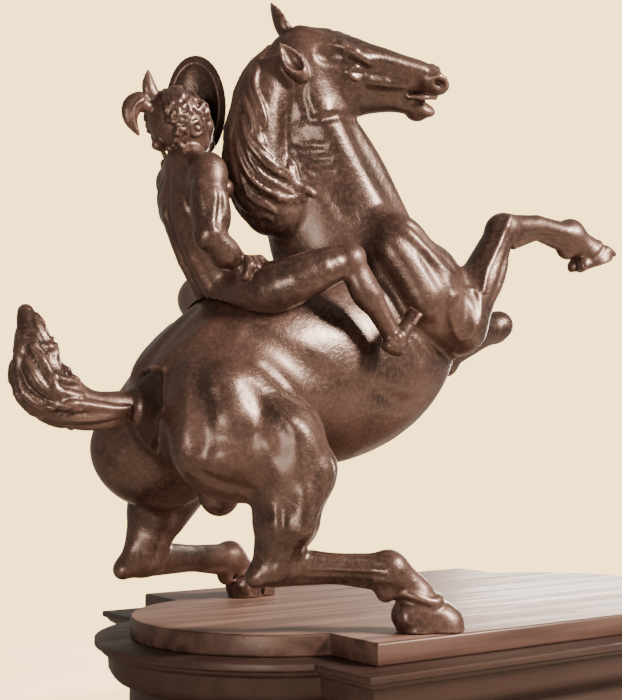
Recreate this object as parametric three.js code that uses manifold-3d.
// Equestrian statuette: a helmeted nude rider on a horse that crouches on its hind legs, two bronze
// castings, on a moulded wooden plinth with a bow at each end.
// Millimetres, +Z up. +X is the way the horse heads, and the origin is the middle of the plinth's underside.
import * as THREE from 'three';
import Module from 'manifold-3d';

const wasm = await Module();
wasm.setup();

// Driving dimensions
const FIGURE_HEIGHT = 250; // from the hooves to the tip of the upright ear
const HEEL_MARGIN = 19; // from the hind heels to the end of the plinth's straight part
const HOOF_MARGIN = 1; // from the outer hoof to the long edge of the plinth's top
const TOP_THICKNESS = 8.6;
const CORNICE_DEPTH = 17.6;
const CORNICE_REACH = 14.5; // how far the cornice stands out beyond the top
const BLOCK_DEPTH = 27;
const BASE_DEPTH = 9; // the spreading foot of the block
const BASE_REACH = 6;
const BOW_SHARE = 0.69; // radius of the bowed ends, as a share of half the top's width
const BOW_INSET = 15; // how far the centre of each bow lies inside the end line
const CONTACT_GAP = 0.3; // between castings and whatever they touch

// The pose is written in millimetres of a figure 250 high, and scaled to the height above.
const POSE_HEIGHT = 250;
const scale = FIGURE_HEIGHT / POSE_HEIGHT;
const HORSE_GRAIN = 2; // size of the sculpting grid, in the same millimetres
const RIDER_GRAIN = 1.25;
const HORSE_FACETS = 5800;
const RIDER_FACETS = 2700;
const MIDLINE = -18; // where the horse's middle plane crosses Y

const at = (x, y, z) => new THREE.Vector3(x, y, z);
const plus = (a, x, y, z) => at(a.x + x, a.y + y, a.z + z);
const between = (a, b, share) => a.clone().lerp(b, share);
const step = (a, direction, length) => a.clone().addScaledVector(direction, length);

// Clay: a grid of signed distances that rounded masses are added to and cut from.
const FAR = 12;
const JUST_INSIDE = -0.05;

class Clay {
  constructor(low, high, grain) {
    this.low = low;
    this.grain = grain;
    const span = high.clone().sub(low).divideScalar(grain).ceil();
    this.size = [span.x + 1, span.y + 1, span.z + 1];
    this.field = new Float32Array(this.size[0] * this.size[1] * this.size[2]).fill(FAR);
  }

  // Blends one shape in, where its box reaches. `blend` is the width of the fillet it leaves.
  merge(low, high, distance, blend, carve) {
    const reach = blend + 2 * this.grain;
    const first = [];
    const last = [];
    ['x', 'y', 'z'].forEach((axis, i) => {
      first[i] = Math.max(0, Math.floor((low[axis] - reach - this.low[axis]) / this.grain));
      last[i] = Math.min(this.size[i] - 1, Math.ceil((high[axis] + reach - this.low[axis]) / this.grain));
    });
    for (let i = first[0]; i <= last[0]; i += 1) {
      const x = this.low.x + i * this.grain;
      for (let j = first[1]; j <= last[1]; j += 1) {
        const y = this.low.y + j * this.grain;
        let cell = (i * this.size[1] + j) * this.size[2] + first[2];
        for (let k = first[2]; k <= last[2]; k += 1) {
          const sign = carve ? -1 : 1;
          const old = this.field[cell] * sign;
          const fresh = distance(x, y, this.low.z + k * this.grain);
          const overlap = blend > 0 ? Math.max(blend - Math.abs(old - fresh), 0) / blend : 0;
          this.field[cell] = sign * (Math.min(old, fresh) - overlap * overlap * blend / 4);
          cell += 1;
        }
      }
    }
  }

  // An egg-shaped mass: radii along `along`, toward `side`, and across both.
  egg(centre, radii, blend, along = at(1, 0, 0), side = at(0, 1, 0)) {
    const a = along.clone().normalize();
    const s = side.clone().addScaledVector(a, -side.dot(a)).normalize();
    const axes = [a, s, a.clone().cross(s)];
    const reach = Math.max(...radii);
    const distance = (x, y, z) => {
      const [dx, dy, dz] = [x - centre.x, y - centre.y, z - centre.z];
      let near = 0;
      let slope = 0;
      for (let i = 0; i < 3; i += 1) {
        const part = (dx * axes[i].x + dy * axes[i].y + dz * axes[i].z) / radii[i];
        near += part * part;
        slope += (part / radii[i]) * (part / radii[i]);
      }
      near = Math.sqrt(near);
      return near * (near - 1) / (Math.sqrt(slope) + 1e-6);
    };
    const [low, high] = [plus(centre, -reach, -reach, -reach), plus(centre, reach, reach, reach)];
    this.merge(low, high, distance, blend, false);
  }

  // A limb: a chain of round cones through `points`. `side` and `wide` make its section oval.
  limb(points, radii, blend, { side = null, wide = null, smooth = 0, carve = false } = {}) {
    let spine = points;
    let girth = radii;
    let width = wide ?? radii.map(() => 1);
    if (smooth > 0) {
      const count = (points.length - 1) * smooth;
      const curve = new THREE.CatmullRomCurve3(points, false, 'catmullrom', 0.5);
      const shares = Array.from({ length: count + 1 }, (_, i) => i / count);
      spine = shares.map((share) => curve.getPoint(share));
      girth = shares.map((share) => runThrough(radii, share));
      width = shares.map((share) => runThrough(wide ?? radii.map(() => 1), share));
    }
    const parts = [];
    const low = at(Infinity, Infinity, Infinity);
    const high = at(-Infinity, -Infinity, -Infinity);
    spine.forEach((point, i) => {
      const reach = girth[i] * Math.max(1, width[i]);
      low.min(plus(point, -reach, -reach, -reach));
      high.max(plus(point, reach, reach, reach));
      if (i === 0) return;
      const from = spine[i - 1];
      const run = point.clone().sub(from);
      parts.push({
        from,
        run,
        length2: Math.max(run.lengthSq(), 1e-9),
        r: girth[i - 1],
        dr: girth[i] - girth[i - 1],
        w: width[i - 1],
        dw: width[i] - width[i - 1],
      });
    });
    const s = side ? side.clone().normalize() : null;
    const distance = (x, y, z) => {
      let best = Infinity;
      for (const part of parts) {
        const px = x - part.from.x;
        const py = y - part.from.y;
        const pz = z - part.from.z;
        let t = (px * part.run.x + py * part.run.y + pz * part.run.z) / part.length2;
        t = t < 0 ? 0 : t > 1 ? 1 : t;
        const qx = px - t * part.run.x;
        const qy = py - t * part.run.y;
        const qz = pz - t * part.run.z;
        let square = qx * qx + qy * qy + qz * qz;
        if (s) {
          const across = qx * s.x + qy * s.y + qz * s.z;
          const w = part.w + part.dw * t;
          square += across * across * (1 / (w * w) - 1);
        }
        const d = Math.sqrt(Math.max(square, 0)) - part.r - part.dr * t;
        if (d < best) best = d;
      }
      return best;
    };
    this.merge(low, high, distance, blend, carve);
  }

  // The distance at any point, between the eight cells round it.
  distanceAt(x, y, z) {
    const place = [x - this.low.x, y - this.low.y, z - this.low.z].map((value) => value / this.grain);
    const cell = place.map(Math.floor);
    const share = place.map((value, axis) => value - cell[axis]);
    if (cell.some((value, axis) => value < 0 || value > this.size[axis] - 2)) return FAR;
    let sum = 0;
    for (let c = 0; c < 8; c += 1) {
      const corner = [c & 1, (c >> 1) & 1, c >> 2];
      const [i, j, k] = cell.map((value, axis) => value + corner[axis]);
      const weights = corner.map((side, axis) => (side ? share[axis] : 1 - share[axis]));
      sum += weights[0] * weights[1] * weights[2] * this.field[(i * this.size[1] + j) * this.size[2] + k];
    }
    return sum;
  }

  // Cuts everything off below a level.
  stand(level) {
    for (let cell = 0; cell < this.field.length; cell += 1) {
      const z = this.low.z + (cell % this.size[2]) * this.grain;
      this.field[cell] = Math.max(this.field[cell], level - z);
    }
  }

  // Fills the few grid squares and cubes whose corners are inside and outside by turns, so that the
  // surface never touches itself.
  settle() {
    const [nx, ny, nz] = this.size;
    const stride = [ny * nz, nz, 1];
    const cornerAt = (c) => (c & 1) * stride[0] + ((c >> 1) & 1) * stride[1] + (c >> 2);
    const corners = Array.from({ length: 8 }, (_, c) => cornerAt(c));
    const squares = [[1, 2], [2, 4], [4, 1]];
    const { field } = this;
    const inside = (cell) => field[cell] < 0;
    const mend = (cell, count) => {
      for (const [u, v] of squares) {
        const [own, one, other, across] = [0, u, v, u + v].map((c) => cell + corners[c]);
        if (inside(own) !== inside(across)) continue;
        if (inside(own) === inside(one) || inside(own) === inside(other)) continue;
        field[inside(own) ? one : own] = JUST_INSIDE;
        return true;
      }
      if (count !== 2 && count !== 6) return false;
      for (const c of [0, 1, 2, 4]) {
        const [from, to] = [cell + corners[c], cell + corners[7 - c]];
        if (inside(from) !== inside(to) || inside(from) !== (count === 2)) continue;
        field[count === 2 ? cell + corners[c ^ 1] : from] = JUST_INSIDE;
        return true;
      }
      return false;
    };
    for (let changed = true; changed;) {
      changed = false;
      for (let i = 0; i < nx - 1; i += 1) {
        for (let j = 0; j < ny - 1; j += 1) {
          for (let k = 0; k < nz - 1; k += 1) {
            const cell = i * stride[0] + j * stride[1] + k;
            let count = 0;
            for (let c = 0; c < 8; c += 1) if (field[cell + corners[c]] < 0) count += 1;
            if (count > 1 && count < 7 && mend(cell, count)) changed = true;
          }
        }
      }
    }
  }

  // The surface: a point in each grid cube that it crosses, and two facets over each grid edge.
  surface() {
    this.settle();
    const [nx, ny, nz] = this.size;
    const stride = [ny * nz, nz, 1];
    const { field, low, grain } = this;
    const ids = new Int32Array(field.length).fill(-1);
    const points = [];
    for (let i = 0; i < nx - 1; i += 1) {
      for (let j = 0; j < ny - 1; j += 1) {
        for (let k = 0; k < nz - 1; k += 1) {
          const cell = i * stride[0] + j * stride[1] + k;
          let crossings = 0;
          const sum = [0, 0, 0];
          for (let c = 0; c < 8; c += 1) {
            const offset = [c & 1, (c >> 1) & 1, c >> 2];
            const place = cell + offset[0] * stride[0] + offset[1] * stride[1] + offset[2];
            const from = field[place];
            for (let axis = 0; axis < 3; axis += 1) {
              if (offset[axis] === 1) continue;
              const to = field[place + stride[axis]];
              if (from < 0 === to < 0) continue;
              crossings += 1;
              for (let n = 0; n < 3; n += 1) sum[n] += offset[n] + (n === axis ? from / (from - to) : 0);
            }
          }
          if (crossings === 0) continue;
          ids[cell] = points.length / 3;
          points.push(
            low.x + (i + sum[0] / crossings) * grain,
            low.y + (j + sum[1] / crossings) * grain,
            low.z + (k + sum[2] / crossings) * grain,
          );
        }
      }
    }
    const faces = [];
    for (let cell = 0; cell < field.length; cell += 1) {
      for (let axis = 0; axis < 3; axis += 1) {
        const next = cell + stride[axis];
        if (next >= field.length || field[cell] < 0 === field[next] < 0) continue;
        const [u, v] = [stride[(axis + 1) % 3], stride[(axis + 2) % 3]];
        const ring = [ids[cell - u - v], ids[cell - v], ids[cell], ids[cell - u]];
        if (!(field[cell] < 0)) ring.reverse();
        faces.push(ring[0], ring[1], ring[2], ring[0], ring[2], ring[3]);
      }
    }
    return largestBody(Float64Array.from(points), faces);
  }
}

// Only the largest body counts: a crumb that came loose from a thin tip is dropped.
function largestBody(points, faces) {
  const parent = Int32Array.from({ length: points.length / 3 }, (_, i) => i);
  const root = (v) => {
    let top = v;
    while (parent[top] !== top) {
      parent[top] = parent[parent[top]];
      top = parent[top];
    }
    return top;
  };
  for (let i = 0; i < faces.length; i += 3) {
    parent[root(faces[i])] = root(faces[i + 1]);
    parent[root(faces[i + 1])] = root(faces[i + 2]);
  }
  const sizes = new Map();
  for (const v of faces) sizes.set(root(v), (sizes.get(root(v)) ?? 0) + 1);
  const [largest] = [...sizes].reduce((one, other) => (other[1] > one[1] ? other : one));
  return { points, faces: Int32Array.from(faces.filter((v) => root(v) === largest)) };
}

// A value that runs evenly through a list, as a point runs along a curve.
function runThrough(values, share) {
  const place = share * (values.length - 1);
  const i = Math.min(Math.floor(place), values.length - 2);
  const t = place - i;
  const [a, b] = [values[Math.max(i - 1, 0)], values[i]];
  const [c, d] = [values[i + 1], values[Math.min(i + 2, values.length - 1)]];
  return 0.5 * (2 * b + (c - a) * t + (2 * a - 5 * b + 4 * c - d) * t * t + (3 * b - a - 3 * c + d) * t ** 3);
}

const SHORT_FIRST = 1e-3; // how much an edge's own length adds to its price
const THINNEST = 0.06; // the thinnest facet let through, as area over its longest side squared
const MOST_TURN = 0.25; // and how far it may turn, as the cosine between old and new

// Fewer facets: the edge whose loss moves the surface least goes first, until `wanted` facets are left.
// Each corner carries the sum of the planes round it, ten numbers of a symmetric 4 by 4 matrix.
function simplify({ points, faces }, wanted) {
  const facesAt = Array.from({ length: points.length / 3 }, () => []);
  const planes = new Float64Array(10 * facesAt.length);
  const version = new Int32Array(facesAt.length);
  const alive = new Uint8Array(faces.length / 3).fill(1);
  let left = alive.length;
  const corner = at(0, 0, 0);
  const [edgeA, edgeB] = [at(0, 0, 0), at(0, 0, 0)];
  const get = (v, target) => target.set(points[3 * v], points[3 * v + 1], points[3 * v + 2]);
  const [pa, pb, pc, before, after] = [at(0, 0, 0), at(0, 0, 0), at(0, 0, 0), at(0, 0, 0), at(0, 0, 0)];
  const normal = (a, b, c, target) => target.crossVectors(edgeA.subVectors(b, a), edgeB.subVectors(c, a));

  for (let f = 0; f < left; f += 1) {
    get(faces[3 * f], pa);
    normal(pa, get(faces[3 * f + 1], pb), get(faces[3 * f + 2], pc), before);
    const area = before.length() + 1e-12;
    before.divideScalar(area);
    const plane = [before.x, before.y, before.z, -before.dot(pa)];
    for (let n = 0; n < 3; n += 1) {
      const v = faces[3 * f + n];
      facesAt[v].push(f);
      let slot = 10 * v;
      for (let i = 0; i < 4; i += 1) {
        for (let j = i; j < 4; j += 1) {
          planes[slot] += plane[i] * plane[j] * area;
          slot += 1;
        }
      }
    }
  }

  // The best place for the point that replaces edge ab, and what it costs.
  const q = new Float64Array(10);
  const error = (x, y, z) => q[0] * x * x + 2 * q[1] * x * y + 2 * q[2] * x * z + 2 * q[3] * x + q[4] * y * y
    + 2 * q[5] * y * z + 2 * q[6] * y + q[7] * z * z + 2 * q[8] * z + q[9];
  const best = (a, b) => {
    for (let i = 0; i < 10; i += 1) q[i] = planes[10 * a + i] + planes[10 * b + i];
    get(a, pa);
    get(b, pb);
    const c0 = q[4] * q[7] - q[5] * q[5];
    const c1 = q[2] * q[5] - q[1] * q[7];
    const c2 = q[1] * q[5] - q[2] * q[4];
    const det = q[0] * c0 + q[1] * c1 + q[2] * c2;
    let [x, y, z] = [(pa.x + pb.x) / 2, (pa.y + pb.y) / 2, (pa.z + pb.z) / 2];
    if (det > 1e-4 * (q[0] + q[4] + q[7]) ** 3) {
      x = -(q[3] * c0 + q[6] * c1 + q[8] * c2) / det;
      y = -(q[3] * c1 + q[6] * (q[0] * q[7] - q[2] * q[2]) + q[8] * (q[1] * q[2] - q[0] * q[5])) / det;
      z = -(q[3] * c2 + q[6] * (q[1] * q[2] - q[0] * q[5]) + q[8] * (q[0] * q[4] - q[1] * q[1])) / det;
    }
    const price = Math.max(error(x, y, z), 0) + SHORT_FIRST * pa.distanceToSquared(pb);
    return { price, x, y, z, a, b, va: version[a], vb: version[b] };
  };

  const heap = [];
  const push = (entry) => {
    let i = heap.length;
    heap.push(entry);
    while (i > 0) {
      const parent = (i - 1) >> 1;
      if (heap[parent].price <= entry.price) break;
      heap[i] = heap[parent];
      i = parent;
    }
    heap[i] = entry;
  };
  const pop = () => {
    const top = heap[0];
    const last = heap.pop();
    const count = heap.length;
    if (count === 0) return top;
    let i = 0;
    for (let child = 1; child < count; child = 2 * i + 1) {
      if (child + 1 < count && heap[child + 1].price < heap[child].price) child += 1;
      if (last.price <= heap[child].price) break;
      heap[i] = heap[child];
      i = child;
    }
    heap[i] = last;
    return top;
  };
  const neighbours = (v) => {
    const found = new Set();
    for (const f of facesAt[v]) {
      for (let i = 3 * f; i < 3 * f + 3; i += 1) if (faces[i] !== v) found.add(faces[i]);
    }
    return found;
  };
  // A facet that would turn over or shrink to a sliver keeps its corner where it is.
  const spoils = (v, other, point) => {
    for (const f of facesAt[v]) {
      const [i, j, k] = [faces[3 * f], faces[3 * f + 1], faces[3 * f + 2]];
      if (i === other || j === other || k === other) continue;
      normal(get(i, pa), get(j, pb), get(k, pc), before);
      if (i === v) pa.copy(point);
      if (j === v) pb.copy(point);
      if (k === v) pc.copy(point);
      normal(pa, pb, pc, after);
      const sides = [pa.distanceToSquared(pb), pb.distanceToSquared(pc), pc.distanceToSquared(pa)];
      if (after.length() < THINNEST * Math.max(...sides)) return true;
      if (before.dot(after) < MOST_TURN * before.length() * after.length()) return true;
    }
    return false;
  };

  for (let i = 0; i < faces.length; i += 1) {
    const next = i % 3 === 2 ? i - 2 : i + 1;
    if (faces[i] < faces[next]) push(best(faces[i], faces[next]));
  }
  while (left > wanted && heap.length > 0) {
    const { x, y, z, a, b, va, vb } = pop();
    if (version[a] !== va || version[b] !== vb) continue;
    const around = neighbours(b);
    let shared = 0;
    for (const v of neighbours(a)) if (around.has(v)) shared += 1;
    corner.set(x, y, z);
    if (shared !== 2 || spoils(a, b, corner) || spoils(b, a, corner)) continue;
    points.set([x, y, z], 3 * a);
    for (let i = 0; i < 10; i += 1) planes[10 * a + i] += planes[10 * b + i];
    for (const f of facesAt[b]) {
      const ids = [faces[3 * f], faces[3 * f + 1], faces[3 * f + 2]];
      if (ids.includes(a)) {
        alive[f] = 0;
        left -= 1;
        for (const v of ids) if (v !== b) facesAt[v] = facesAt[v].filter((other) => other !== f);
      } else {
        faces[3 * f + ids.indexOf(b)] = a;
        facesAt[a].push(f);
      }
    }
    facesAt[b] = [];
    version[a] += 1;
    version[b] += 1;
    for (const v of neighbours(a)) push(best(a, v));
  }

  const kept = new Map();
  const position = [];
  const index = [];
  for (let i = 0; i < faces.length; i += 1) {
    if (!alive[Math.floor(i / 3)]) continue;
    const v = faces[i];
    if (!kept.has(v)) {
      kept.set(v, kept.size);
      position.push(points[3 * v], points[3 * v + 1], points[3 * v + 2]);
    }
    index.push(kept.get(v));
  }
  return { position, index };
}

// Horse

// The neck's spine, from the shoulders up to the poll, with the girth of the neck along it, and the
// fuller crest behind it that carries the mane.
const NECK = [at(-53, -18, 140), at(-63, -19, 158), at(-71.5, -20, 178), at(-80.5, -24, 199),
  at(-88.5, -29, 219), at(-91, -30, 228)];
const NECK_GIRTH = [32.5, 31, 27.3, 18.5, 13, 9.5];
const NECK_BREADTH = [0.8, 0.73, 0.7, 0.8, 0.8, 0.8];
const NECK_SIDE = at(0.25, 1, 0).normalize();
const NECK_CURVE = new THREE.CatmullRomCurve3(NECK, false, 'catmullrom', 0.5);
const CREST = [at(-97, -28, 228), at(-106, -26, 213.5), at(-109, -24, 196), at(-107, -22, 180),
  at(-99, -20, 166)];
const CREST_GIRTH = [7, 9, 10.4, 11, 11];

// The point of the surface that lies at an angle round from the crest (+ is the near side), seen
// from the neck's spine. It is found by coming in from outside.
function onNeck(clay, share, angle) {
  const spine = NECK_CURVE.getPoint(share);
  const back = NECK_CURVE.getTangent(share).cross(NECK_SIDE).normalize();
  const aside = -runThrough(NECK_BREADTH, share) * Math.sin(angle);
  const way = back.multiplyScalar(Math.cos(angle)).addScaledVector(NECK_SIDE, aside).normalize();
  let reach = runThrough(NECK_GIRTH, share) + 2 * FAR;
  for (let i = 0; i < 40; i += 1) {
    const { x, y, z } = step(spine, way, reach);
    reach -= 0.9 * Math.min(Math.max(clay.distanceAt(x, y, z), 0), 5);
  }
  return { point: step(spine, way, reach), way };
}

// Locks of the mane: each springs from the crest and falls forward in a long S down one side.
const MANE = { near: 10, far: 5, crest: 6, topShare: 0.94, lowShare: 0.42, fall: 0.36, wave: 0.13 };
const LOCK = { tip: 0.8, girth: 2.3, layer: 0.5, steps: 8 };
function mane(clay) {
  const lines = [];
  for (const [side, count] of [[1, MANE.near], [-1, MANE.far]]) {
    for (let i = 0; i < count; i += 1) {
      const start = MANE.topShare - (MANE.topShare - MANE.lowShare) * (i / (count - 1));
      const reach = 0.75 + 0.25 * (i % 3) + 0.25 * (1 - start);
      const sway = (run) => MANE.wave * run * Math.sin(6.5 * run + 2 * i);
      lines.push((run) => [start - MANE.fall * run, side * (reach * run ** 1.15 - 0.2 + sway(run))]);
    }
  }
  for (let i = 0; i < MANE.crest; i += 1) {
    const start = 0.98 - 0.13 * i;
    lines.push((run) => [start - 0.14 * run, 0.3 * (-1) ** i * Math.sin(3 * run)]);
  }
  const runs = Array.from({ length: LOCK.steps + 1 }, (_, n) => n / LOCK.steps);
  const lay = ([share, angle]) => onNeck(clay, Math.max(share, 0.05), angle);
  const laid = lines.map((line) => runs.map((run) => lay(line(run))));
  const fullness = runs.map((run) => Math.sin(Math.PI * (0.12 + 0.8 * run)));
  laid.forEach((lock, i) => {
    const lift = LOCK.layer * (i % 3);
    const points = lock.map(({ point, way }, n) => step(point, way, lift * fullness[n]));
    clay.limb(points, fullness.map((full) => LOCK.tip + LOCK.girth * full), 0.6);
  });
}

const TAIL = [at(-146, -18, 88), at(-161, -18, 85), at(-177, -18, 84), at(-189, -17, 88),
  at(-197, -16, 93), at(-198, -15, 102), at(-200, -14, 111), at(-201, -12, 119)];
const TAIL_GIRTH = [8, 7, 7.4, 8.6, 8.8, 7, 4.8, 3.4];
const TAIL_BREADTH = 0.8;
const TAIL_LOCKS = 7;

// The tail's body, and the wavy locks that wind along it.
function tail(clay) {
  const acrossTail = at(0, 1, 0);
  const core = TAIL_GIRTH.map((girth) => 0.9 * girth);
  clay.limb(TAIL, core, 4, { side: acrossTail, wide: TAIL.map(() => TAIL_BREADTH), smooth: 4 });
  const curve = new THREE.CatmullRomCurve3(TAIL, false, 'catmullrom', 0.5);
  const steps = 14;
  for (let i = 0; i < TAIL_LOCKS; i += 1) {
    const points = [];
    const radii = [];
    for (let n = 0; n <= steps; n += 1) {
      const share = 0.2 + 0.78 * (n / steps);
      const angle = 2 * Math.PI * (i / TAIL_LOCKS) + 0.9 * Math.sin(5 * share + i);
      const up = curve.getTangent(share).cross(acrossTail).normalize();
      const girth = runThrough(TAIL_GIRTH, share);
      const raised = step(curve.getPoint(share), up, girth * Math.cos(angle));
      points.push(step(raised, acrossTail, TAIL_BREADTH * girth * Math.sin(angle)));
      radii.push(0.6 + 2.6 * Math.sin(Math.PI * (0.05 + 0.9 * (n / steps))) ** 0.7);
    }
    clay.limb(points, radii, 0.6);
  }
}

// Hind legs: the joints of each, from the hip down to the middle of the hoof's sole.
const NEAR_HIND = {
  hip: at(-133, -42, 79), stifle: at(-111, -58, 61), gaskin: at(-117, -58, 43),
  hock: at(-119, -54, 26), heel: at(-127, -53, 22), cannon: at(-99, -64, 25),
  fetlock: at(-80, -73, 24), pastern: at(-70, -76, 15), sole: at(-64, -78, 0),
};
const FAR_HIND = {
  hip: at(-131, 6, 77), stifle: at(-106, 26, 62), gaskin: at(-126, 24, 42),
  hock: at(-132, 26, 23), heel: at(-142, 24, 19), cannon: at(-102, 37, 21),
  fetlock: at(-77, 46, 19), pastern: at(-68, 50, 12), sole: at(-60, 54, 0),
};
const SOLE_RADIUS = 9;

function hindLeg(clay, leg, away, buttock) {
  const { hip, stifle, gaskin, hock, heel, cannon, fetlock, pastern, sole } = leg;
  clay.egg(hip, [25, 17, 25], 8, at(0.5, 0, 0.8));
  const thigh = plus(between(hip, stifle, 0.5), 4, away * 4, 2);
  clay.limb([plus(hip, 10, away * 2, -2), thigh, stifle], [21, 18, 13], 8);
  const rump = [buttock.size, buttock.size * 0.73, buttock.size * 0.8];
  clay.egg(plus(hip, buttock.x, buttock.y, buttock.z), rump, 8, at(1, 0, -0.35));
  clay.egg(plus(stifle, 3, 0, 1), [10, 8, 12], 6, at(0.2, 0, 1));
  clay.limb([plus(stifle, -4, 0, -2), gaskin, between(gaskin, hock, 0.5), hock], [14, 12.5, 9.5, 8], 6);
  const tendon = plus(between(gaskin, heel, 0.5), -1.5, 0, 1);
  clay.limb([plus(gaskin, -7, 0, 10), tendon, plus(heel, 2, 0, 2)], [6, 4, 3.6], 5);
  clay.limb([heel, hock], [4.2, 7.5], 3);
  clay.limb([plus(hock, 4, 0, 0), cannon, fetlock], [7, 5.4, 6], 3);
  const along = fetlock.clone().sub(hock).normalize();
  const sinew = [plus(step(hock, along, 4), 0, 0, -4.5), plus(cannon, 0, 0, -3.5),
    plus(step(fetlock, along, -6), 0, 0, -4)];
  clay.limb(sinew, [3.4, 2.8, 4], 2);
  clay.egg(plus(fetlock, -1, 0, -1), [8, 6.5, 8], 3, pastern.clone().sub(fetlock));
  clay.egg(plus(fetlock, -2, 0, -8), [4.5, 4.2, 5], 3);
  clay.limb([fetlock, pastern], [6.4, 6.2], 3);
  hoof(clay, plus(pastern, 0, 0, -3), sole, sole.clone().sub(fetlock).setZ(0).normalize());
}

// A hoof: the wall flares from the coronet to a flat sole, longer at the toe than it is broad.
function hoof(clay, coronet, sole, ahead) {
  clay.limb([coronet, plus(step(sole, ahead, 4), 0, 0, 1)], [7, SOLE_RADIUS], 3);
  clay.limb([step(coronet, ahead, -2), plus(step(sole, ahead, -6), 0, 0, 1)], [6, SOLE_RADIUS - 1.5], 3);
}

// A raised foreleg: shoulder, elbow, knee, fetlock and the toe of the hoof.
function foreLeg(clay, { shoulder, blade, elbow, forearm, knee, cannon, fetlock, coronet, quarter, toe }) {
  clay.limb([shoulder, blade, elbow], [17, 15, 12], 7);
  clay.limb([elbow, forearm, knee], [12, 9.6, 6.4], 4);
  clay.egg(plus(knee, 2, 0, 3), [8, 6.5, 6.4], 3);
  clay.limb([plus(knee, 3, 0, 3), cannon, fetlock], [6.4, 5, 5.4], 3);
  clay.egg(fetlock, [7.5, 5.6, 6.5], 3, coronet.clone().sub(fetlock));
  clay.limb([fetlock, coronet], [5.6, 5.6], 2);
  clay.limb([coronet, quarter], [6, 7.6], 3);
  clay.limb([quarter, toe], [6.5, 2], 3);
}

const NEAR_FORE = {
  shoulder: at(-52, -40, 148), blade: at(-42, -46, 132), elbow: at(-22, -46, 120),
  forearm: at(-10, -47, 139), knee: at(1, -48, 160), cannon: at(23, -48, 166),
  fetlock: at(46, -48, 163), coronet: at(55, -48, 158), quarter: at(60, -48, 154), toe: at(69, -48, 156),
};
const FAR_FORE = {
  shoulder: at(-56, 4, 148), blade: at(-34, 10, 132), elbow: at(-10, 8, 123),
  forearm: at(20, 11, 127), knee: at(53, 14, 125), cannon: at(38, 13, 117),
  fetlock: at(19, 11, 109), coronet: at(12, 11, 112), quarter: at(7, 11, 115), toe: at(1, 11, 121),
};

// The head's own directions: ahead along the nose, out to the far side, and up through the forehead.
const POLL = at(-93.5, -29, 230);
const AHEAD = at(0.929, -0.365, -0.055).normalize();
const FAR_SIDE = at(0.332, 0.762, 0.556);
const OUT = step(FAR_SIDE, AHEAD, -FAR_SIDE.dot(AHEAD)).normalize();
const UP = AHEAD.clone().cross(OUT);
const onHead = (ahead, up, out = 0) => step(step(step(POLL, AHEAD, ahead), UP, up), OUT, out);

function horseHead(clay) {
  const egg = (place, radii, blend, along = AHEAD) => clay.egg(onHead(...place), radii, blend, along, OUT);
  const cord = (places, radii, blend, wide = null, carve = false) => {
    clay.limb(places.map((place) => onHead(...place)), radii, blend, { side: OUT, wide, carve });
  };
  // skull, forehead and nose, then the jowl and the lower jaw
  egg([10, -6], [15, 9.5, 12], 5);
  const nose = [[3, 0], [13, 1.2], [24, 0], [36, -1], [50, -2.8], [57, -3.4]];
  cord(nose, [8.4, 8.6, 8, 6.6, 5.3, 4.8], 4, [1.1, 1.12, 1.08, 0.86, 0.86, 1]);
  egg([18, -11], [14, 8.6, 13.5], 4);
  egg([22, -14], [12, 7.6, 12], 4);
  cord([[20, -14], [32, -16.5], [45, -16], [57, -18]], [9, 7, 4.6, 3.6], 4, [0.85, 0.85, 1, 1.1]);
  cord([[28, -8], [46, -7]], [8.5, 6], 4, [0.78, 0.78]);
  egg([61, -7], [7, 6, 4.8], 2.5);
  for (const side of [-1, 1]) {
    const brow = [[12, 5, side * 4.6], [18, 6.8, side * 6.8], [23, 6.6, side * 7.8], [29, 4, side * 7.2]];
    cord(brow, [2.4, 3, 2.8, 1.6], 1.5);
    egg([26.4, -0.6, side * 7.6], [3.8, 2.8, 3], 0.8);
    cord([[29, -4.6, side * 7.6], [38, -5.6, side * 6.6], [48, -6.6, side * 5.2]], [2.1, 1.9, 1], 1.6);
    egg([17, -12, side * 7], [11, 3, 10], 2);
    egg([59.5, -4, side * 4.4], [5.6, 3.4, 4.6], 1.6);
  }
  const mouth = [[44, -12], [54, -13], [61, -14.4], [67, -16.4], [76, -19]];
  cord(mouth, [0.6, 1, 2.4, 3.8, 6], 0.6, [5, 5, 4, 3, 3], true);
  egg([58.6, -18], [6.2, 5, 3.2], 1.2, step(AHEAD, UP, -0.25));
  egg([56.6, -20.6], [4.6, 4, 3.2], 1.8);
  for (let i = -1; i <= 1; i += 1) {
    cord([[-3, 7, 3 * i], [6, 8, 4 * i], [14, 8.4, 4.6 * i]], [1.6, 1.8, 0.8], 0.8);
  }
  const nearRoot = plus(onHead(2, -7, -13), -1.6, -2.6, 0.4);
  ear(clay, nearRoot, plus(nearRoot, -9.5, 1.5, 11.5), at(-0.4, -0.9, 0.1), 4.4);
  const farRoot = onHead(-1, 3, 6.5);
  ear(clay, farRoot, plus(farRoot, -7, 4.6, 15), at(0.75, -0.6, 0.25), 4.8);
}

// An ear: a leaf from root to tip, hollowed on the side it opens to.
function ear(clay, root, tip, opening, breadth) {
  const middle = between(root, tip, 0.45);
  const face = opening.clone().normalize();
  clay.limb([root, middle, tip], [breadth * 0.8, breadth, 1], 2, { side: face, wide: [0.9, 0.75, 0.9] });
  const hollow = [step(between(root, middle, 0.5), face, 3), step(middle, face, 3), step(tip, face, 1.2)];
  clay.limb(hollow, [breadth * 0.35, breadth * 0.62, 0.3], 0.8, { carve: true });
}

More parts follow.
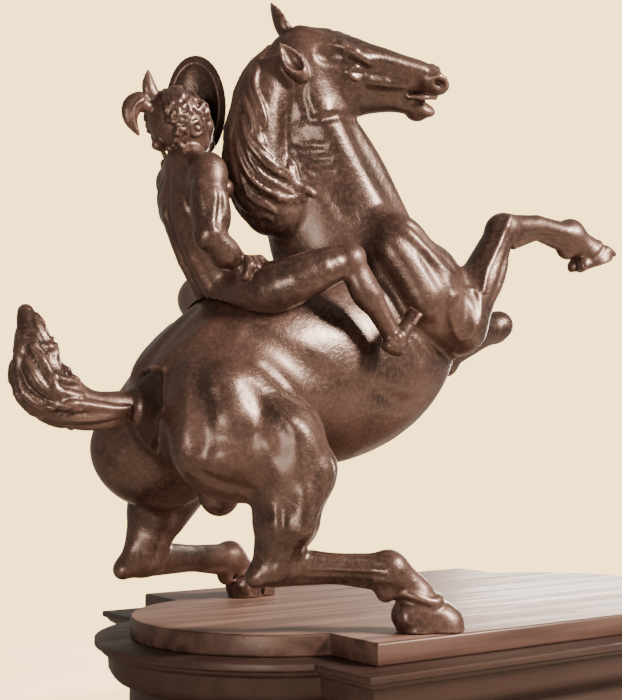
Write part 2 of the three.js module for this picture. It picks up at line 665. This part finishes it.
// Broad furrows where one muscle slides under the next, cut by cords that lie half in the surface.
function furrows(clay) {
  const cut = (...points) => clay.limb(points, [1.5, 3, 3, 1.5], 2.5, { carve: true });
  cut(at(-126, -60, 101), at(-112, -68, 85), at(-101, -70, 71), at(-97, -68, 60));
  cut(at(-145, -48, 102), at(-154, -55, 85), at(-154, -56, 70), at(-142, -63, 56));
  cut(at(-140, -64, 94), at(-134, -72, 78), at(-127, -74, 62), at(-126, -70, 48));
  cut(at(-124, 28, 105), at(-106, 38, 86), at(-94, 38, 70), at(-90, 32, 60));
  cut(at(-52, -62, 148), at(-42, -64, 133), at(-37, -62, 119), at(-42, -56, 110));
}

const TRUNK = [at(-140, MIDLINE, 84), at(-127, MIDLINE, 89), at(-101, MIDLINE, 101),
  at(-73, MIDLINE, 104), at(-48, MIDLINE, 115), at(-34, MIDLINE, 132)];
const TRUNK_GIRTH = [20, 29.5, 37, 42, 40, 27];
const TRUNK_BREADTH = [1.1, 1.14, 0.97, 0.84, 0.82, 0.9];

function sculptHorse() {
  const clay = new Clay(at(-218, -104, -2), at(82, 74, 262), HORSE_GRAIN);
  clay.limb(TRUNK, TRUNK_GIRTH, 4, { side: at(0, 1, 0), wide: TRUNK_BREADTH, smooth: 4 });
  hindLeg(clay, NEAR_HIND, -1, { x: 2, y: 0, z: -12, size: 22 });
  hindLeg(clay, FAR_HIND, 1, { x: -6, y: 2, z: -11, size: 27 });
  clay.egg(at(-121, -17, 52), [9, 7, 10], 5);
  foreLeg(clay, NEAR_FORE);
  foreLeg(clay, FAR_FORE);
  clay.egg(at(-36, -42, 138), [19, 12, 17], 6, at(1, 0, -0.4));
  clay.egg(at(-32, -31, 140), [10.5, 11, 12.5], 5);
  clay.egg(at(-32, -5, 140), [10.5, 11, 12.5], 5);
  clay.limb(NECK, NECK_GIRTH, 6, { side: NECK_SIDE, wide: NECK_BREADTH, smooth: 4 });
  clay.limb(CREST, CREST_GIRTH, 6, { side: at(0.6, 1, 0), wide: CREST.map(() => 0.8), smooth: 3 });
  furrows(clay);
  horseHead(clay);
  mane(clay);
  tail(clay);
  clay.stand(0);
  return clay;
}

// Rider

const NEAR_SHOULDER = at(-137, -33, 174);
const FAR_SHOULDER = at(-134, -3, 175);
const FIST = at(-119, -36, 139);

function riderLeg(clay, side) {
  const joint = (x, out, z) => at(x, MIDLINE + side * out, z);
  const thigh = [joint(-118, 10, 127), joint(-115, 25, 130), joint(-105, 36, 135), joint(-91, 41, 141)];
  clay.limb(thigh, [10.5, 10.5, 9, 6], 4);
  clay.egg(joint(-89, 42, 142), [6, 6, 6], 3);
  clay.limb([joint(-90, 42, 142), joint(-80, 43, 128), joint(-69, 44, 111)], [5.6, 5.4, 3.2], 3);
  clay.egg(joint(-83, 43, 130), [9, 5, 5.4], 3, at(0.5, 0, -0.8));
  clay.limb([joint(-68, 44, 107), joint(-62, 45, 116), joint(-58, 46, 124)], [3.4, 3, 2.2], 2);
}

// The helmet: a scrolled shell, a curled crest behind, a spike on top and a guard at the nape.
const HEAD = at(-139, -16, 197);
function helmet(clay) {
  clay.egg(HEAD, [13, 10, 11.5], 4, at(0.5, 0, -1));
  for (let i = 0; i < 5; i += 1) {
    const points = [];
    for (let n = 0; n <= 6; n += 1) {
      const turn = Math.PI * (-0.35 + 0.28 * n);
      const lean = (i - 2) * 0.5;
      const round = at(9.6 * Math.cos(turn) * Math.cos(lean), 10 * Math.sin(lean), 10 * Math.sin(turn));
      points.push(plus(round.add(HEAD), -2, 0, 1.5));
    }
    clay.limb(points, points.map(() => 1.5), 0.8);
  }
  clay.limb([at(-147, -16, 200), at(-154, -16, 200.5), at(-159, -16, 202.5)], [3.4, 2.3, 3.2], 2);
  clay.limb([at(-159, -16, 202.5), at(-162, -16, 198), at(-158, -16, 190)], [3.2, 2.8, 0.9], 2);
  clay.limb([at(-150, -16, 205), at(-153, -16, 209), at(-153, -16, 215)], [2.6, 2.6, 0.9], 2);
  clay.limb([at(-146, -16, 190), at(-148, -16, 186)], [3, 2.2], 2);
}

// The shield: a shallow oval bowl with a raised rim, hollow side toward the arm that holds it.
const SHIELD = {
  middle: at(-117, 10, 211), face: at(0.72, 0.68, 0.1).normalize(), height: 21, breadth: 12.5,
};
function shield(clay) {
  const { middle, face, height, breadth } = SHIELD;
  clay.egg(middle, [height, 3.4, breadth], 1, at(0, 0, 1), face);
  const count = 16;
  const across = face.clone().cross(at(0, 0, 1)).normalize();
  const upward = across.clone().cross(face).normalize();
  const rim = [];
  for (let i = 0; i <= count; i += 1) {
    const turn = 2 * Math.PI * (i / count);
    const raised = step(middle, upward, (height - 1) * Math.cos(turn));
    rim.push(step(raised, across, (breadth - 1) * Math.sin(turn)));
  }
  clay.limb(rim, rim.map(() => 1.5), 0.6);
}

function sculptRider(horseClay) {
  const clay = new Clay(at(-180, -78, 98), at(-44, 42, 240), RIDER_GRAIN);
  clay.egg(at(-118, MIDLINE, 129), [9, 13.5, 11], 4);
  const back = [at(-119, MIDLINE, 128), at(-126, MIDLINE, 140), at(-132, MIDLINE, 152),
    at(-135, MIDLINE, 166), at(-136, MIDLINE, 177)];
  const breadth = [1.35, 1.2, 1.25, 1.4, 1.5];
  clay.limb(back, [9, 9.3, 10.5, 11.5, 8], 5, { side: at(0, 1, 0), wide: breadth, smooth: 3 });
  for (const side of [-1, 1]) {
    riderLeg(clay, side);
    clay.egg(at(-140, MIDLINE + side * 7, 166), [4, 6.5, 11], 3);
    clay.egg(at(-119, MIDLINE + side * 7, 122), [8, 7, 7], 3);
  }
  clay.limb([NEAR_SHOULDER, at(-139, -38, 163), at(-141, -41, 149)], [8, 7.8, 5.6], 4);
  clay.limb([at(-141, -41, 148), at(-133, -39, 142), at(-125, -37, 140)], [6, 6, 4.2], 3);
  clay.egg(FIST, [6.5, 4.5, 5], 2);
  for (let finger = 0; finger < 4; finger += 1) {
    const root = plus(FIST, -3 + 2.6 * finger, -4, 2.6);
    clay.limb([root, plus(root, 0.6, -1.6, -3), plus(root, 0.2, 0, -5)], [1.6, 1.6, 1.3], 0.5);
  }
  clay.limb([FAR_SHOULDER, at(-126, 6, 190), at(-119, 8, 205)], [7.5, 6, 4], 4);
  clay.limb([at(-136, -18, 178), at(-138, -17, 188)], [7, 6], 4);
  helmet(clay);
  shield(clay);
  clay.merge(clay.low, at(-44, 42, 240), seatOf(horseClay), 0, true);
  return clay;
}

// The distance to the horse, widened by the gap, so that the rider's seat takes the shape of its back.
function seatOf(clay) {
  const gap = 2 * CONTACT_GAP / scale;
  return (x, y, z) => clay.distanceAt(x, y, z) - gap;
}

// From clay to a casting: facets, scaled to the figure's height and set on the plinth.
const TOP_LEVEL = BASE_DEPTH + BLOCK_DEPTH + CORNICE_DEPTH + TOP_THICKNESS;

function cast(clay, facets) {
  const { position, index } = simplify(clay.surface(), facets);
  for (let i = 0; i < position.length; i += 1) {
    position[i] = position[i] * scale + (i % 3 === 2 ? TOP_LEVEL + CONTACT_GAP : 0);
  }
  return { position, index };
}

// The same facets, each corner pushed out along its normal.
function swell({ position, index }, distance) {
  const geometry = toGeometry({ position, index });
  const normals = geometry.attributes.normal.array;
  return { position: position.map((value, i) => value + normals[i] * distance), index };
}

function toGeometry({ position, index }) {
  const geometry = new THREE.BufferGeometry();
  geometry.setAttribute('position', new THREE.Float32BufferAttribute(position, 3));
  geometry.setIndex(index);
  geometry.computeVertexNormals();
  return geometry;
}

const toSolid = ({ position, index }) => new wasm.Manifold(new wasm.Mesh({
  numProp: 3,
  vertProperties: Float32Array.from(position),
  triVerts: Uint32Array.from(index),
}));

function fromSolid(solid) {
  const mesh = solid.getMesh();
  return { position: Array.from(mesh.vertProperties), index: Array.from(mesh.triVerts) };
}

// Plinth

// Half the top's width and length follow from where the hooves stand.
const HALF_WIDTH = (Math.max(-NEAR_HIND.sole.y, FAR_HIND.sole.y) + SOLE_RADIUS) * scale + HOOF_MARGIN;
const HALF_LENGTH = (-NEAR_HIND.sole.x + 6 + SOLE_RADIUS) * scale + HEEL_MARGIN - CONTACT_GAP;
const BOW_RADIUS = BOW_SHARE * HALF_WIDTH;
const BOW_FACETS = 14;

// The plinth's outline, moved out by `reach`: two straight sides, and a bow in the middle of each end.
function outline(reach) {
  const corners = [];
  const radius = BOW_RADIUS + reach;
  const spread = Math.acos((BOW_INSET + reach) / radius);
  for (const end of [1, -1]) {
    corners.push([end * (HALF_LENGTH + reach), -end * (HALF_WIDTH + reach)]);
    for (let i = 0; i <= BOW_FACETS; i += 1) {
      const turn = spread * (2 * i / BOW_FACETS - 1);
      const x = HALF_LENGTH - BOW_INSET + radius * Math.cos(turn);
      corners.push([end * x, end * radius * Math.sin(turn)]);
    }
    corners.push([end * (HALF_LENGTH + reach), end * (HALF_WIDTH + reach)]);
  }
  return corners;
}

// A moulding run round the outline: `profile` lists [reach, height] from the bottom up.
function moulding(profile) {
  const rings = profile.map(([reach]) => outline(reach));
  const count = rings[0].length;
  const position = rings.flatMap((ring, i) => ring.flatMap(([x, y]) => [x, y, profile[i][1]]));
  const index = [];
  for (let ring = 0; ring + 1 < rings.length; ring += 1) {
    for (let i = 0; i < count; i += 1) {
      const [a, b] = [ring * count + i, ring * count + ((i + 1) % count)];
      index.push(a, b, b + count, a, b + count, a + count);
    }
  }
  const cap = (ring) => THREE.ShapeUtils.triangulateShape(ring.map(([x, y]) => new THREE.Vector2(x, y)), []);
  for (const [a, b, c] of cap(rings[0])) index.push(a, c, b);
  const last = (rings.length - 1) * count;
  for (const [a, b, c] of cap(rings[rings.length - 1])) index.push(last + a, last + b, last + c);
  return { position, index };
}

const EDGE = 0.6; // the small chamfer on the boards' edges
const BLOCK_TOP = BASE_DEPTH + BLOCK_DEPTH;
const CORNICE_TOP = BLOCK_TOP + CORNICE_DEPTH;

// The block's foot spreads in a low base, in one piece with it.
const FOOT_PROFILE = [[1, 0], [1, 0.6], [0.8, 0.75], [0.35, 0.88], [0, 1]];
const block = moulding([
  ...FOOT_PROFILE.map(([reach, rise]) => [reach * BASE_REACH, rise * BASE_DEPTH]),
  [0, BLOCK_TOP],
]);

// The cornice: a cove out of the block, a leaning fascia, a small ogee and a fillet at the top.
const CORNICE_PROFILE = [
  [0.04, 0], [0.28, 0.05], [0.5, 0.17], [0.6, 0.33], [0.63, 0.66],
  [0.7, 0.67], [0.77, 0.74], [0.93, 0.84], [1, 0.87], [1, 1],
];
const corniceAt = ([reach, rise]) => [reach * CORNICE_REACH, BLOCK_TOP + rise * CORNICE_DEPTH];
const cornice = moulding(CORNICE_PROFILE.map(corniceAt));
const slab = moulding([
  [-EDGE, CORNICE_TOP], [0, CORNICE_TOP + EDGE], [0, TOP_LEVEL - EDGE], [-EDGE, TOP_LEVEL],
]);

// Materials and the finished group

const bronze = () => new THREE.MeshStandardMaterial({ color: 0x4a3026, roughness: 0.32, metalness: 0.9 });
const wood = () => new THREE.MeshStandardMaterial({ color: 0x33201a, roughness: 0.4, metalness: 0 });

const horseClay = sculptHorse();
const horse = cast(horseClay, HORSE_FACETS);
const riderBlank = cast(sculptRider(horseClay), RIDER_FACETS);
const rider = fromSolid(toSolid(riderBlank).subtract(toSolid(swell(horse, CONTACT_GAP))));

const statuette = new THREE.Group();
for (const [name, shape, material] of [
  ['plinth_block', block, wood()],
  ['plinth_cornice', cornice, wood()],
  ['plinth_top', slab, wood()],
  ['horse', horse, bronze()],
  ['rider', rider, bronze()],
]) {
  const mesh = new THREE.Mesh(toGeometry(shape), material);
  mesh.name = name;
  statuette.add(mesh);
}

export default statuette;
